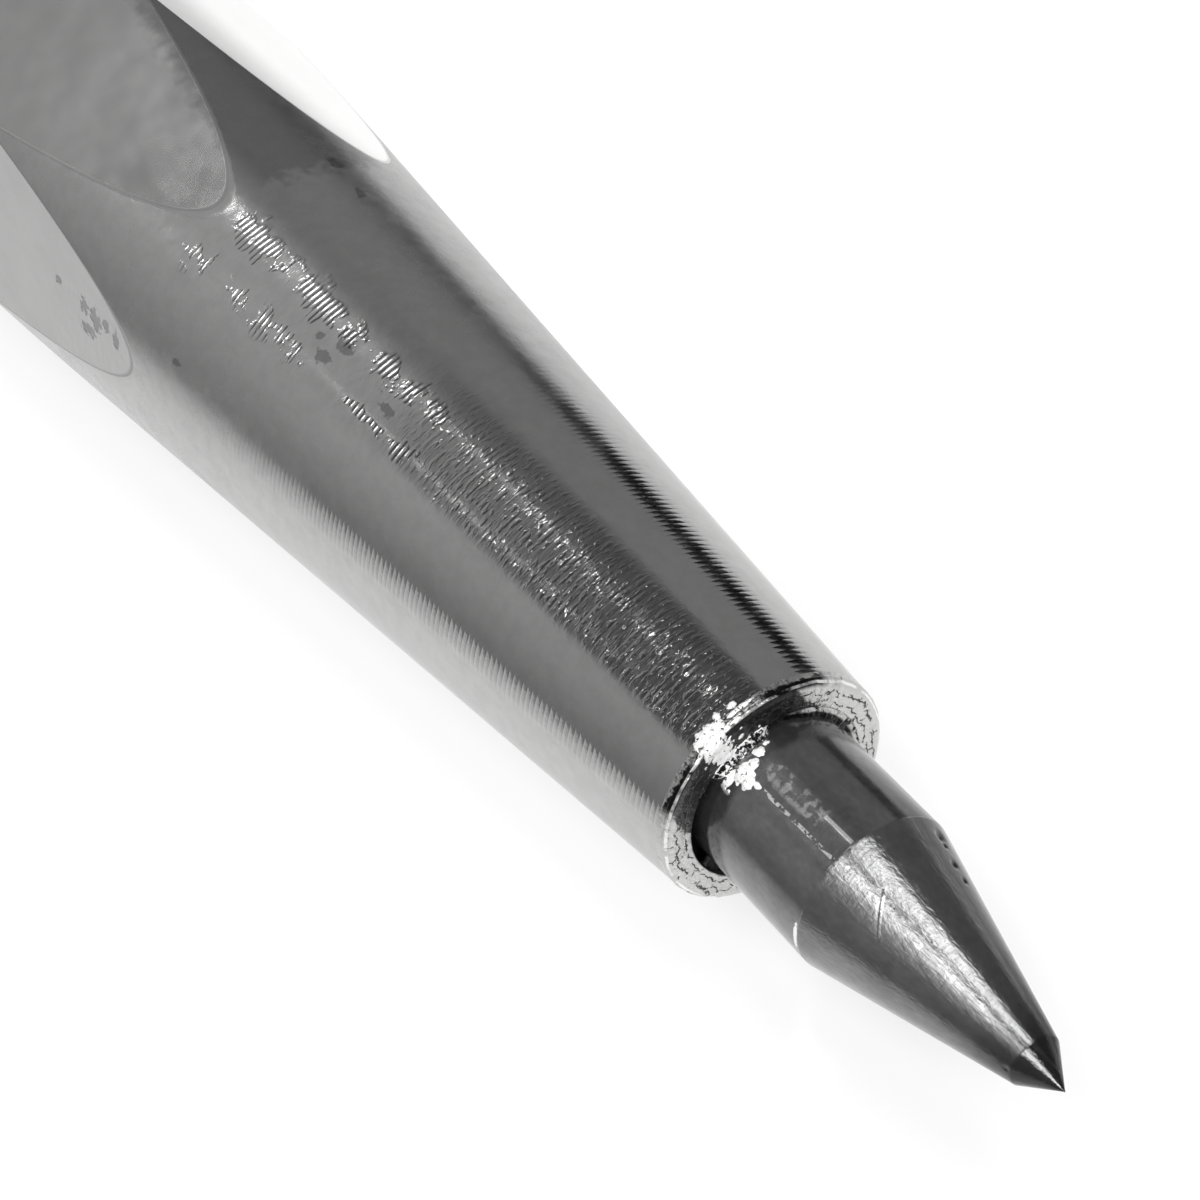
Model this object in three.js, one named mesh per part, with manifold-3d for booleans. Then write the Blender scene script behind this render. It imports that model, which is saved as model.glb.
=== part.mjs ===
// A pen-shaped scriber: a carbide rod brazed into the tapered nose of a plated hexagonal bar,
// with a pocket clip and a magnet-ended cap at the rear.
// The tool lies along X with its point towards +X, on one flat of the bar, with the clip on top.
import * as THREE from 'three';
import { mergeVertices } from 'three/addons/utils/BufferGeometryUtils.js';
import Module from 'manifold-3d';

const wasm = await Module();
wasm.setup();

// Driving dimensions, in millimetres and degrees.

// Barrel: a hexagonal bar turned to a long taper, with a short chamfer round the nose face.
const HEX_ACROSS_FLATS = 7;
const BARREL_LENGTH = 120;
const TAPER_HALF_ANGLE = 4.9;
const NOSE_WALL = 0.5;
const NOSE_CHAMFER_LENGTH = 0.12;
const NOSE_CHAMFER_ANGLE = 40;
const REAR_CHAMFER_ANGLE = 30;
const REAR_CHAMFER_DEPTH = 0.7;
const TAPPED_HOLE_DEPTH = 13;

// Carbide rod: cylinder, long cone, short steep point.
const ROD_DIAMETER = 3;
const ROD_SHOWING = 2.63;
const ROD_HELD = 12;
const CONE_HALF_ANGLE = 14.4;
const POINT_DIAMETER = 0.95;
const POINT_HALF_ANGLE = 34;
const ROD_END_CHAMFER = 0.25;

// Braze: a small fillet round the rod, left open over one sector.
const BRAZE_HEIGHT = 0.3;
const BRAZE_WIDTH = 0.26;
const BRAZE_OPEN_ANGLE = 60;
const BRAZE_OPEN_CENTRE = 167;

// Pocket clip: one strip of spring steel, an eye at its root and a pressed ball near its front.
const CLIP_THICKNESS = 0.5;
const CLIP_REACH = 38;
const CLIP_ROOT_WIDTH = 4.4;
const CLIP_FRONT_WIDTH = 3.2;
const CLIP_STANDOFF = 2.1;
const CLIP_BEND_RADIUS = 0.9;
const CLIP_LIP_LENGTH = 3.4;
const CLIP_LIP_ANGLE = 22;
const BALL_RADIUS = 1.1;
const BALL_DEPTH = 0.6;
const BEAD_RADIUS = 0.8;
const BEAD_HEIGHT = 0.25;
const BEAD_END_MARGIN = 5;

// Spring washer between the clip's eye and the cap.
const WASHER_THICKNESS = 0.6;
const WASHER_SPLIT = 0.5;
const WASHER_SPLIT_SLANT = 30;

// End cap: knurled, with a threaded stud in front and a magnet in its rear face.
const CAP_LENGTH = 14;
const CAP_INSET = 0.2;
const CAP_COLLAR_LENGTH = 2.6;
const CAP_GROOVE_DEPTH = 0.35;
const CAP_GROOVE_WIDTH = 0.8;
const CAP_EDGE_ROUND = 0.7;
const KNURL_TEETH = 30;
const KNURL_DEPTH = 0.22;
const STUD_DIAMETER = 3.9;
const STUD_LENGTH = 9;
const STUD_NECK_DIAMETER = 3.2;
const STUD_NECK_LENGTH = 1.1;
const STUD_END_CHAMFER = 0.4;
const MAGNET_DIAMETER = 4.2;
const MAGNET_LENGTH = 5;
const MAGNET_PROUD = 0.3;
const MAGNET_EDGE_CHAMFER = 0.2;

// Clearances.
const ROD_CLEARANCE = 0.18;
const BRAZE_CLEARANCE = 0.02;
const STUD_CLEARANCE = 0.1;
const EYE_CLEARANCE = 0.2;
const WASHER_CLEARANCE = 0.25;
const MAGNET_CLEARANCE = 0.05;
const BALL_CLEARANCE = 0.1;
const CLIP_ROOT_GAP = 0.3;
const HOLE_END_CLEARANCE = 0.5;
const DRILL_POINT_HALF_ANGLE = 59;

// Facets.
const TURNED_FACETS = 96;
const BORE_FACETS = 48;
const ARC_STEPS = 6;
const BALL_FACETS = 24;
const MERGE_DISTANCE = 1e-4;

// Values worked out from the driving dimensions.
const hexApothem = HEX_ACROSS_FLATS / 2;
const hexCorner = hexApothem / Math.cos(Math.PI / 6);
const rodRadius = ROD_DIAMETER / 2;
const rodBoreRadius = rodRadius + ROD_CLEARANCE;
const noseRadius = rodBoreRadius + NOSE_WALL;
const taperSlope = tangent(TAPER_HALF_ANGLE);
const noseEdgeRadius = noseRadius + NOSE_CHAMFER_LENGTH * taperSlope;
const noseFaceRadius = noseEdgeRadius - NOSE_CHAMFER_LENGTH * tangent(NOSE_CHAMFER_ANGLE);
const taperLength = (hexCorner - noseRadius) / taperSlope;
const coneLength = (rodRadius - POINT_DIAMETER / 2) / tangent(CONE_HALF_ANGLE);
const pointLength = POINT_DIAMETER / 2 / tangent(POINT_HALF_ANGLE);
const tipFront = ROD_SHOWING + coneLength + pointLength;
const studRadius = STUD_DIAMETER / 2;
const tappedHoleRadius = studRadius + STUD_CLEARANCE;
const barrelRear = -BARREL_LENGTH;
const eyeRear = barrelRear - CLIP_THICKNESS;
const capFront = eyeRear - WASHER_THICKNESS;
const capRear = capFront - CAP_LENGTH;
const capRadius = hexApothem - CAP_INSET;
const magnetRadius = MAGNET_DIAMETER / 2;
const magnetRear = capRear - MAGNET_PROUD;
const overallLength = tipFront - magnetRear;

function radians(degrees) {
  return THREE.MathUtils.degToRad(degrees);
}

function tangent(degrees) {
  return Math.tan(radians(degrees));
}

// Closed geometry to solid: shared corners are merged and slivers at an axis are dropped.
function solidOf(geometry) {
  const plain = geometry.index ? geometry.toNonIndexed() : geometry.clone();
  plain.deleteAttribute('normal');
  plain.deleteAttribute('uv');
  const merged = mergeVertices(plain, MERGE_DISTANCE);
  const index = merged.index.array;
  const triVerts = [];
  for (let i = 0; i < index.length; i += 3) {
    const [a, b, c] = [index[i], index[i + 1], index[i + 2]];
    if (a !== b && b !== c && c !== a) {
      triVerts.push(a, b, c);
    }
  }
  const vertProperties = new Float32Array(merged.attributes.position.array);
  return new wasm.Manifold(
    new wasm.Mesh({ numProp: 3, vertProperties, triVerts: new Uint32Array(triVerts) }),
  );
}

function geometryOf(solid) {
  const { vertProperties, triVerts, numProp } = solid.getMesh();
  const position = new Float32Array((vertProperties.length / numProp) * 3);
  for (let i = 0; i < position.length / 3; i += 1) {
    position.set(vertProperties.subarray(i * numProp, i * numProp + 3), i * 3);
  }
  const geometry = new THREE.BufferGeometry();
  geometry.setAttribute('position', new THREE.BufferAttribute(position, 3));
  geometry.setIndex(new THREE.BufferAttribute(new Uint32Array(triVerts), 1));
  geometry.computeVertexNormals();
  return geometry;
}

// A solid turned about X. The profile is a list of [x, radius] from rear to front.
function turned(profile, facets = TURNED_FACETS) {
  const points = profile.map(([x, radius]) => new THREE.Vector2(radius, x));
  return solidOf(new THREE.LatheGeometry(points, facets).rotateZ(-Math.PI / 2));
}

// A drilled hole along X, from its mouth to a drill point at depth.
function drilled(mouth, direction, radius, depth, facets = BORE_FACETS) {
  const pointDepth = depth + radius / tangent(DRILL_POINT_HALF_ANGLE);
  const profile = [
    [mouth - direction * HOLE_END_CLEARANCE, 0],
    [mouth - direction * HOLE_END_CLEARANCE, radius],
    [mouth + direction * depth, radius],
    [mouth + direction * pointDepth, 0],
  ];
  return turned(direction > 0 ? profile : profile.reverse(), facets);
}

// A flat outline in Y and Z, drawn with +Y as its first axis, extruded along +X from rear.
function plateAlongX(outline, rear, thickness, curveSegments = ARC_STEPS * 4) {
  const geometry = new THREE.ExtrudeGeometry(outline, {
    depth: thickness,
    bevelEnabled: false,
    curveSegments,
  });
  geometry.applyMatrix4(new THREE.Matrix4().set(
    0, 0, 1, rear,
    1, 0, 0, 0,
    0, 1, 0, 0,
    0, 0, 0, 1,
  ));
  return solidOf(geometry);
}

function box(low, high) {
  const size = high.map((value, i) => value - low[i]);
  const centre = high.map((value, i) => (value + low[i]) / 2);
  return solidOf(new THREE.BoxGeometry(...size).translate(...centre));
}

// Points of a quarter round, from the side of a turned body to its end face.
function quarterRound(endX, outerRadius, round, towardsEnd) {
  const points = [];
  for (let i = 0; i <= ARC_STEPS; i += 1) {
    const angle = (Math.PI / 2) * (i / ARC_STEPS);
    points.push([
      endX - towardsEnd * round * (1 - Math.sin(angle)),
      outerRadius - round * (1 - Math.cos(angle)),
    ]);
  }
  return towardsEnd > 0 ? points : points.reverse();
}

// Barrel: the turned form cut from the hexagonal bar, so the taper leaves a scallop on each flat.
function barrel() {
  const chamferLength = REAR_CHAMFER_DEPTH * tangent(REAR_CHAMFER_ANGLE);
  const turnedForm = turned([
    [barrelRear, 0],
    [barrelRear, hexCorner - REAR_CHAMFER_DEPTH],
    [barrelRear + chamferLength, hexCorner],
    [-taperLength, hexCorner],
    [-NOSE_CHAMFER_LENGTH, noseEdgeRadius],
    [0, noseFaceRadius],
    [0, 0],
  ]);
  const bar = new THREE.CylinderGeometry(hexCorner, hexCorner, BARREL_LENGTH, 6);
  bar.rotateZ(Math.PI / 2).rotateX(Math.PI / 2).translate(-BARREL_LENGTH / 2, 0, 0);
  return solidOf(bar)
    .intersect(turnedForm)
    .subtract(drilled(0, -1, rodBoreRadius, ROD_HELD))
    .subtract(drilled(barrelRear, 1, tappedHoleRadius, TAPPED_HOLE_DEPTH));
}

function carbideTip() {
  return turned([
    [-ROD_HELD, 0],
    [-ROD_HELD, rodRadius - ROD_END_CHAMFER],
    [ROD_END_CHAMFER - ROD_HELD, rodRadius],
    [ROD_SHOWING, rodRadius],
    [ROD_SHOWING + coneLength, POINT_DIAMETER / 2],
    [tipFront, 0],
  ], BORE_FACETS);
}

// Braze: a hollow-curved fillet between the nose face and the rod, open over one sector.
function brazeFillet() {
  const inner = rodRadius + BRAZE_CLEARANCE;
  const width = Math.min(BRAZE_WIDTH, noseFaceRadius - inner);
  const section = [[0, inner]];
  for (let i = 0; i <= ARC_STEPS; i += 1) {
    const angle = (Math.PI / 2) * (i / ARC_STEPS);
    section.push([
      BRAZE_HEIGHT * (1 - Math.sin(angle)),
      inner + width * (1 - Math.cos(angle)),
    ]);
  }
  section.splice(1, 1, [BRAZE_HEIGHT, inner], [BRAZE_HEIGHT, inner + BRAZE_CLEARANCE]);
  section.push([0, inner]);
  const ring = turned(section.reverse(), BORE_FACETS);
  const reach = hexCorner * 2;
  const sector = new THREE.Shape();
  const halfOpen = radians(BRAZE_OPEN_ANGLE / 2);
  const centre = radians(BRAZE_OPEN_CENTRE);
  sector.moveTo(0, 0);
  sector.lineTo(reach * Math.cos(centre - halfOpen), reach * Math.sin(centre - halfOpen));
  sector.lineTo(reach * Math.cos(centre + halfOpen), reach * Math.sin(centre + halfOpen));
  const cutter = plateAlongX(sector, -BRAZE_HEIGHT, 3 * BRAZE_HEIGHT);
  return ring.subtract(cutter);
}

// Clip eye: a flat ring under the cap with a tab that stands up past the bar's top flat.
const clipMid = barrelRear - CLIP_THICKNESS / 2;
const clipHinge = hexApothem + CLIP_ROOT_GAP;
const eyeRadius = capRadius;
const eyeHoleRadius = studRadius + EYE_CLEARANCE;

function clipEye() {
  const halfWidth = CLIP_ROOT_WIDTH / 2;
  const tabTop = clipHinge - CLIP_ROOT_GAP / 2;
  const shoulder = Math.asin(halfWidth / eyeRadius);
  const outline = new THREE.Shape();
  outline.moveTo(halfWidth, tabTop);
  outline.lineTo(-halfWidth, tabTop);
  outline.absarc(0, 0, eyeRadius, Math.PI / 2 + shoulder, Math.PI / 2 - shoulder + 2 * Math.PI);
  const hole = new THREE.Path();
  hole.absarc(0, 0, eyeHoleRadius, 0, 2 * Math.PI, true);
  outline.holes.push(hole);
  return plateAlongX(outline, eyeRear, CLIP_THICKNESS);
}

// Centre line of the clip's arm in X and Z: up from the eye, over the bend, down to the ball
// and up again along the lip.
const armHeight = hexApothem + CLIP_STANDOFF;
const ballX = clipMid + CLIP_REACH - CLIP_LIP_LENGTH * Math.cos(radians(CLIP_LIP_ANGLE));
const ballMidZ = hexApothem + BALL_CLEARANCE + BALL_DEPTH + CLIP_THICKNESS / 2;
const armStartX = clipMid + CLIP_BEND_RADIUS;
const armSlope = Math.atan2(ballMidZ - armHeight, ballX - armStartX);

function armCentreLine() {
  const lip = radians(CLIP_LIP_ANGLE);
  const turn = Math.PI / 2 + armSlope;
  const path = new THREE.Path();
  const bendZ = armHeight - CLIP_BEND_RADIUS;
  path.moveTo(clipMid, clipHinge + CLIP_ROOT_GAP / 2);
  path.lineTo(clipMid, bendZ);
  path.absarc(armStartX, bendZ, CLIP_BEND_RADIUS, Math.PI, turn, true);
  path.lineTo(
    ballX - BALL_RADIUS * Math.cos(armSlope),
    ballMidZ - BALL_RADIUS * Math.sin(armSlope),
  );
  path.quadraticCurveTo(
    ballX,
    ballMidZ,
    ballX + BALL_RADIUS * Math.cos(lip),
    ballMidZ + BALL_RADIUS * Math.sin(lip),
  );
  path.lineTo(
    ballX + CLIP_LIP_LENGTH * Math.cos(lip),
    ballMidZ + CLIP_LIP_LENGTH * Math.sin(lip),
  );
  return path.getPoints(ARC_STEPS);
}

// A strip of the clip's thickness round a centre line, as wide as the clip's root.
function strip(centreLine) {
  const halfThickness = CLIP_THICKNESS / 2;
  const sides = { upper: [], lower: [] };
  centreLine.forEach((point, i) => {
    const before = centreLine[Math.max(i - 1, 0)];
    const after = centreLine[Math.min(i + 1, centreLine.length - 1)];
    const along = after.clone().sub(before).normalize();
    const across = new THREE.Vector2(-along.y, along.x).multiplyScalar(halfThickness);
    sides.upper.push(point.clone().add(across));
    sides.lower.push(point.clone().sub(across));
  });
  const outline = new THREE.Shape([...sides.lower, ...sides.upper.reverse()]);
  const geometry = new THREE.ExtrudeGeometry(outline, {
    depth: CLIP_ROOT_WIDTH,
    bevelEnabled: false,
  });
  geometry.rotateX(Math.PI / 2).translate(0, CLIP_ROOT_WIDTH / 2, 0);
  return solidOf(geometry);
}

// The clip's outline from above: parallel at the root, tapering to a round front end.
function armPlan() {
  const frontX = ballX + CLIP_LIP_LENGTH * Math.cos(radians(CLIP_LIP_ANGLE));
  const rearX = clipMid - CLIP_THICKNESS;
  const rootHalf = CLIP_ROOT_WIDTH / 2;
  const frontHalf = CLIP_FRONT_WIDTH / 2;
  const outline = new THREE.Shape();
  outline.moveTo(rearX, -rootHalf);
  outline.lineTo(armStartX, -rootHalf);
  outline.absarc(frontX - frontHalf, 0, frontHalf, -Math.PI / 2, Math.PI / 2);
  outline.lineTo(armStartX, rootHalf);
  outline.lineTo(rearX, rootHalf);
  const geometry = new THREE.ExtrudeGeometry(outline, {
    depth: hexCorner + 2 * CLIP_STANDOFF,
    bevelEnabled: false,
    curveSegments: ARC_STEPS * 2,
  });
  return solidOf(geometry);
}

// Clip arm: the bent strip with a raised bead along its back and a ball pressed down at its front.
function clipArm() {
  const beadLength = (ballX - armStartX) / Math.cos(armSlope) - 2 * BEAD_END_MARGIN;
  const beadX = (ballX + armStartX) / 2;
  const beadDepth = CLIP_THICKNESS / 2 + BEAD_HEIGHT - BEAD_RADIUS;
  const beadZ = (ballMidZ + armHeight) / 2;
  const beadBar = (radius) => {
    const geometry = new THREE.CapsuleGeometry(radius, beadLength, ARC_STEPS, BALL_FACETS);
    geometry.rotateZ(Math.PI / 2).translate(0, 0, beadDepth);
    geometry.rotateY(-armSlope).translate(beadX, 0, beadZ);
    return solidOf(geometry);
  };
  const ball = (radius) => {
    const geometry = new THREE.SphereGeometry(radius, BALL_FACETS, BALL_FACETS / 2);
    geometry.translate(ballX, 0, ballMidZ - CLIP_THICKNESS / 2 - BALL_DEPTH + BALL_RADIUS);
    return solidOf(geometry);
  };
  const reach = 2 * BEAD_RADIUS + CLIP_THICKNESS;
  const aboveStrip = new THREE.BoxGeometry(CLIP_REACH * 2, CLIP_ROOT_WIDTH, reach);
  aboveStrip.translate(0, 0, reach / 2).rotateY(-armSlope).translate(beadX, 0, beadZ);
  const belowStrip = box(
    [ballX - BALL_RADIUS * 2, -BALL_RADIUS * 2, 0],
    [ballX + BALL_RADIUS * 2, BALL_RADIUS * 2, ballMidZ],
  );
  const beadWall = CLIP_THICKNESS * 0.9;
  return strip(armCentreLine())
    .intersect(armPlan())
    .add(beadBar(BEAD_RADIUS).intersect(solidOf(aboveStrip)))
    .subtract(beadBar(BEAD_RADIUS - beadWall))
    .add(ball(BALL_RADIUS).intersect(belowStrip))
    .subtract(ball(BALL_RADIUS - beadWall));
}

// Spring washer: a flat ring split by one slanting cut.
function springWasher() {
  const outline = new THREE.Shape();
  outline.absarc(0, 0, capRadius - WASHER_CLEARANCE, 0, 2 * Math.PI);
  const hole = new THREE.Path();
  hole.absarc(0, 0, studRadius + WASHER_CLEARANCE, 0, 2 * Math.PI, true);
  outline.holes.push(hole);
  const cut = new THREE.BoxGeometry(hexCorner * 2, WASHER_SPLIT, hexCorner);
  cut.translate(0, 0, hexCorner / 2).rotateZ(radians(WASHER_SPLIT_SLANT));
  cut.rotateX(Math.PI).translate(capFront + WASHER_THICKNESS / 2, 0, 0);
  return plateAlongX(outline, capFront, WASHER_THICKNESS).subtract(solidOf(cut));
}

// End cap: two plain collars with a knurled grip between, a stud in front and a pocket behind.
function endCap() {
  const gripRear = capRear + CAP_COLLAR_LENGTH;
  const gripFront = capFront - CAP_COLLAR_LENGTH;
  const grooveRadius = capRadius - CAP_GROOVE_DEPTH;
  const neckFront = capFront + STUD_NECK_LENGTH;
  const studFront = capFront + STUD_LENGTH;
  const body = turned([
    [capRear, 0],
    ...quarterRound(capRear, capRadius, CAP_EDGE_ROUND, -1),
    [gripRear - CAP_GROOVE_WIDTH, capRadius],
    [gripRear - CAP_GROOVE_WIDTH, grooveRadius],
    [gripFront + CAP_GROOVE_WIDTH, grooveRadius],
    [gripFront + CAP_GROOVE_WIDTH, capRadius],
    ...quarterRound(capFront, capRadius, CAP_GROOVE_DEPTH, 1),
    [capFront, STUD_NECK_DIAMETER / 2],
    [neckFront, STUD_NECK_DIAMETER / 2],
    [neckFront + (STUD_DIAMETER - STUD_NECK_DIAMETER) / 2, studRadius],
    [studFront - STUD_END_CHAMFER, studRadius],
    [studFront, studRadius - STUD_END_CHAMFER],
    [studFront, 0],
  ], BORE_FACETS);
  const gripOutline = new THREE.Shape();
  for (let i = 0; i < KNURL_TEETH * 2; i += 1) {
    const angle = (Math.PI / KNURL_TEETH) * i;
    const radius = i % 2 === 0 ? capRadius : capRadius - KNURL_DEPTH;
    const place = i === 0 ? 'moveTo' : 'lineTo';
    gripOutline[place](radius * Math.cos(angle), radius * Math.sin(angle));
  }
  const pocketDepth = MAGNET_LENGTH - MAGNET_PROUD + MAGNET_CLEARANCE;
  const pocketRadius = magnetRadius + MAGNET_CLEARANCE;
  return body
    .add(plateAlongX(gripOutline, gripRear, gripFront - gripRear))
    .subtract(drilled(capRear, 1, pocketRadius, pocketDepth));
}

function capMagnet() {
  const front = magnetRear + MAGNET_LENGTH;
  return turned([
    [magnetRear, 0],
    [magnetRear, magnetRadius - MAGNET_EDGE_CHAMFER],
    [magnetRear + MAGNET_EDGE_CHAMFER, magnetRadius],
    [front - MAGNET_EDGE_CHAMFER, magnetRadius],
    [front, magnetRadius - MAGNET_EDGE_CHAMFER],
    [front, 0],
  ], BORE_FACETS);
}

const nickel = { color: 0xc9c9c7, roughness: 0.28, metalness: 1 };
const carbide = { color: 0x4d4d4f, roughness: 0.32, metalness: 0.9 };
const silverBraze = { color: 0xd8d6cf, roughness: 0.4, metalness: 1 };
const springSteel = { color: 0xb4b4b2, roughness: 0.35, metalness: 1 };
const darkMagnet = { color: 0x5a5a5c, roughness: 0.5, metalness: 0.8 };

const pieces = [
  ['hex_barrel', barrel(), nickel],
  ['carbide_tip', carbideTip(), carbide],
  ['braze_fillet', brazeFillet(), silverBraze],
  ['clip_eye', clipEye(), springSteel],
  ['clip_arm', clipArm(), springSteel],
  ['spring_washer', springWasher(), springSteel],
  ['end_cap', endCap(), nickel],
  ['cap_magnet', capMagnet(), darkMagnet],
];

// The origin lies on the resting flat, half way along the tool.
const scriber = new THREE.Group();
scriber.position.set(overallLength / 2 - tipFront, 0, hexApothem);
for (const [name, solid, finish] of pieces) {
  const mesh = new THREE.Mesh(geometryOf(solid), new THREE.MeshStandardMaterial(finish));
  mesh.name = name;
  scriber.add(mesh);
}

export default scriber;
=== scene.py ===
"""Looks of a pen-shaped carbide scriber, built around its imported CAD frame.

The tool lies along X with its point towards +X. Lengths are metres unless a name says otherwise.
"""

from math import acos, atan2, cos, exp, hypot, pi, radians, remainder, sin, sqrt, tan

import bpy
from mathutils import Matrix, Vector, noise


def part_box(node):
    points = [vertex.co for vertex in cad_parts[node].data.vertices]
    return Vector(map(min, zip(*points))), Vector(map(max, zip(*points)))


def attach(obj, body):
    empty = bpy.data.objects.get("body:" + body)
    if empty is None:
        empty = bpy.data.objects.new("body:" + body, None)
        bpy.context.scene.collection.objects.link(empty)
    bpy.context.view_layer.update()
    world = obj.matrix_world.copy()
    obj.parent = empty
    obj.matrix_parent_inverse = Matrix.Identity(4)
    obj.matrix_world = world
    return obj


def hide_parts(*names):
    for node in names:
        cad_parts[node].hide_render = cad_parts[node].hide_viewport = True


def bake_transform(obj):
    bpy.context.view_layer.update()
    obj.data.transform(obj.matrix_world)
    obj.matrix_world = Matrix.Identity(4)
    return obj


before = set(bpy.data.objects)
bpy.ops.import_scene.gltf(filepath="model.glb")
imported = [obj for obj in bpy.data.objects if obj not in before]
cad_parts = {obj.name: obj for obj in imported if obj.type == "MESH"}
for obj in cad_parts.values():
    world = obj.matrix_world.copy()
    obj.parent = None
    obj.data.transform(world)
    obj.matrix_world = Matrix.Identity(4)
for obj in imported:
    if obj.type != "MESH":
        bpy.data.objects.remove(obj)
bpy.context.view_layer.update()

MM = 0.001
TAU = 2 * pi

# Places and sizes taken from the frame

bar_low, bar_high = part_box("hex_barrel")
rod_low, rod_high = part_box("carbide_tip")
cap_low, cap_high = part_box("end_cap")
magnet_low, magnet_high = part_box("cap_magnet")
eye_low, eye_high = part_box("clip_eye")
arm_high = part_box("clip_arm")[1]
washer_low, washer_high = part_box("spring_washer")

AXIS_Z = (bar_low.z + bar_high.z) / 2
HEX_APOTHEM = (bar_high.z - bar_low.z) / 2

# Places along the nose are measured from a plane a little in front of its face
FACE_BACK = 0.33 * MM
NOSE_X = bar_high.x + FACE_BACK
BAR_REAR_X = bar_low.x
ROD_RADIUS = (rod_high.y - rod_low.y) / 2
POINT_X = rod_high.x
CAP_RADIUS = (cap_high.y - cap_low.y) / 2
CAP_REAR_X = cap_low.x
CAP_FRONT_X = washer_low.x
MAGNET_RADIUS = (magnet_high.y - magnet_low.y) / 2

# Sizes of the turned forms, as in the CAD source

TAPER_SLOPE = tan(radians(4.9))
ROD_CLEARANCE = 0.18 * MM
NOSE_WALL = 0.5 * MM
EDGE_BACK = 0.45 * MM
SHOULDER_AHEAD = 2.3 * MM
POINT_RADIUS = 0.475 * MM
POINT_SLOPE = tan(radians(34))
HEX_CORNER_ROUND = 0.14 * MM
SCALLOP_SOFTNESS = 0.008 * MM
REAR_CHAMFER_DEPTH = 0.7 * MM
REAR_CHAMFER_SLOPE = tan(radians(30))
TAPPED_HOLE_RADIUS = 2.05 * MM

BORE_RADIUS = ROD_RADIUS + ROD_CLEARANCE
NOSE_RADIUS = BORE_RADIUS + NOSE_WALL - FACE_BACK * TAPER_SLOPE
HEX_CORNER = HEX_APOTHEM / cos(pi / 6)


# Small helpers for meshes

def smooth_step(low, high, value):
    share = min(max((value - low) / (high - low), 0), 1)
    return share * share * (3 - 2 * share)


def smooth_min(a, b, width):
    overlap = max(width - abs(a - b), 0) / width
    return min(a, b) - overlap * overlap * width / 4


def lerp(a, b, share):
    return a + (b - a) * share


def spread(start, end, count):
    """count evenly spaced values from start, stopping short of end."""
    return [lerp(start, end, i / count) for i in range(count)]


def span(start, end, count):
    """count evenly spaced values from start to end."""
    return [lerp(start, end, i / (count - 1)) for i in range(count)]


def ring_point(x, radius, angle):
    """A point at an angle from +Y towards +Z round the tool's axis."""
    return (x, radius * cos(angle), AXIS_Z + radius * sin(angle))


def link(name, data):
    made = bpy.data.objects.new(name, data)
    bpy.context.scene.collection.objects.link(made)
    return made


def tube(name, rows, materials, row_material=None, loop=False):
    """A skin over rings of points, closed at both ends, or joined end to end as a loop."""
    count = len(rows[0])
    vertices = [point for row in rows for point in row]
    faces, slots = [], []
    for i in range(len(rows) if loop else len(rows) - 1):
        after = (i + 1) % len(rows)
        for j in range(count):
            k = (j + 1) % count
            faces.append((i * count + j, after * count + j, after * count + k, i * count + k))
            slots.append(row_material(i) if row_material else 0)
    if not loop:
        faces.append(tuple(range(count)))
        faces.append(tuple(reversed(range((len(rows) - 1) * count, len(rows) * count))))
        slots += [slots[0], slots[-1]]
    mesh = bpy.data.meshes.new(name)
    mesh.from_pydata(vertices, [], faces)
    for material in materials:
        mesh.materials.append(material)
    mesh.polygons.foreach_set("material_index", slots)
    mesh.polygons.foreach_set("use_smooth", [True] * len(faces))
    mesh.validate()
    face_outwards(mesh)
    return link(name, mesh)


def face_outwards(mesh):
    """Turns the faces over if the closed mesh has a negative volume."""
    if sum(face.area * face.normal.dot(face.center) for face in mesh.polygons) < 0:
        mesh.flip_normals()


def sharpen(piece, angle_degrees):
    """Keeps edges steeper than the angle sharp."""
    piece.data.set_sharp_from_angle(angle=radians(angle_degrees))


def place(piece, body, slot_name, *nodes):
    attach(piece, body)
    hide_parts(*nodes)


# Nodes of a material, in which lengths are millimetres and angles degrees

def operator(name, swapped=False):
    """A method of Value that adds the Math node of this name."""
    def method(a, b=0):
        return a.graph.math(name, b, a) if swapped else a.graph.math(name, a, b)
    return method


class Value:
    """A number or colour that nodes work out; arithmetic on it adds Math nodes."""

    def __init__(self, graph, socket):
        self.graph = graph
        self.socket = socket

    __add__ = __radd__ = operator("ADD")
    __mul__ = __rmul__ = operator("MULTIPLY")
    __sub__ = operator("SUBTRACT")
    __rsub__ = operator("SUBTRACT", swapped=True)
    __truediv__ = operator("DIVIDE")
    __abs__ = operator("ABSOLUTE")


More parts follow.
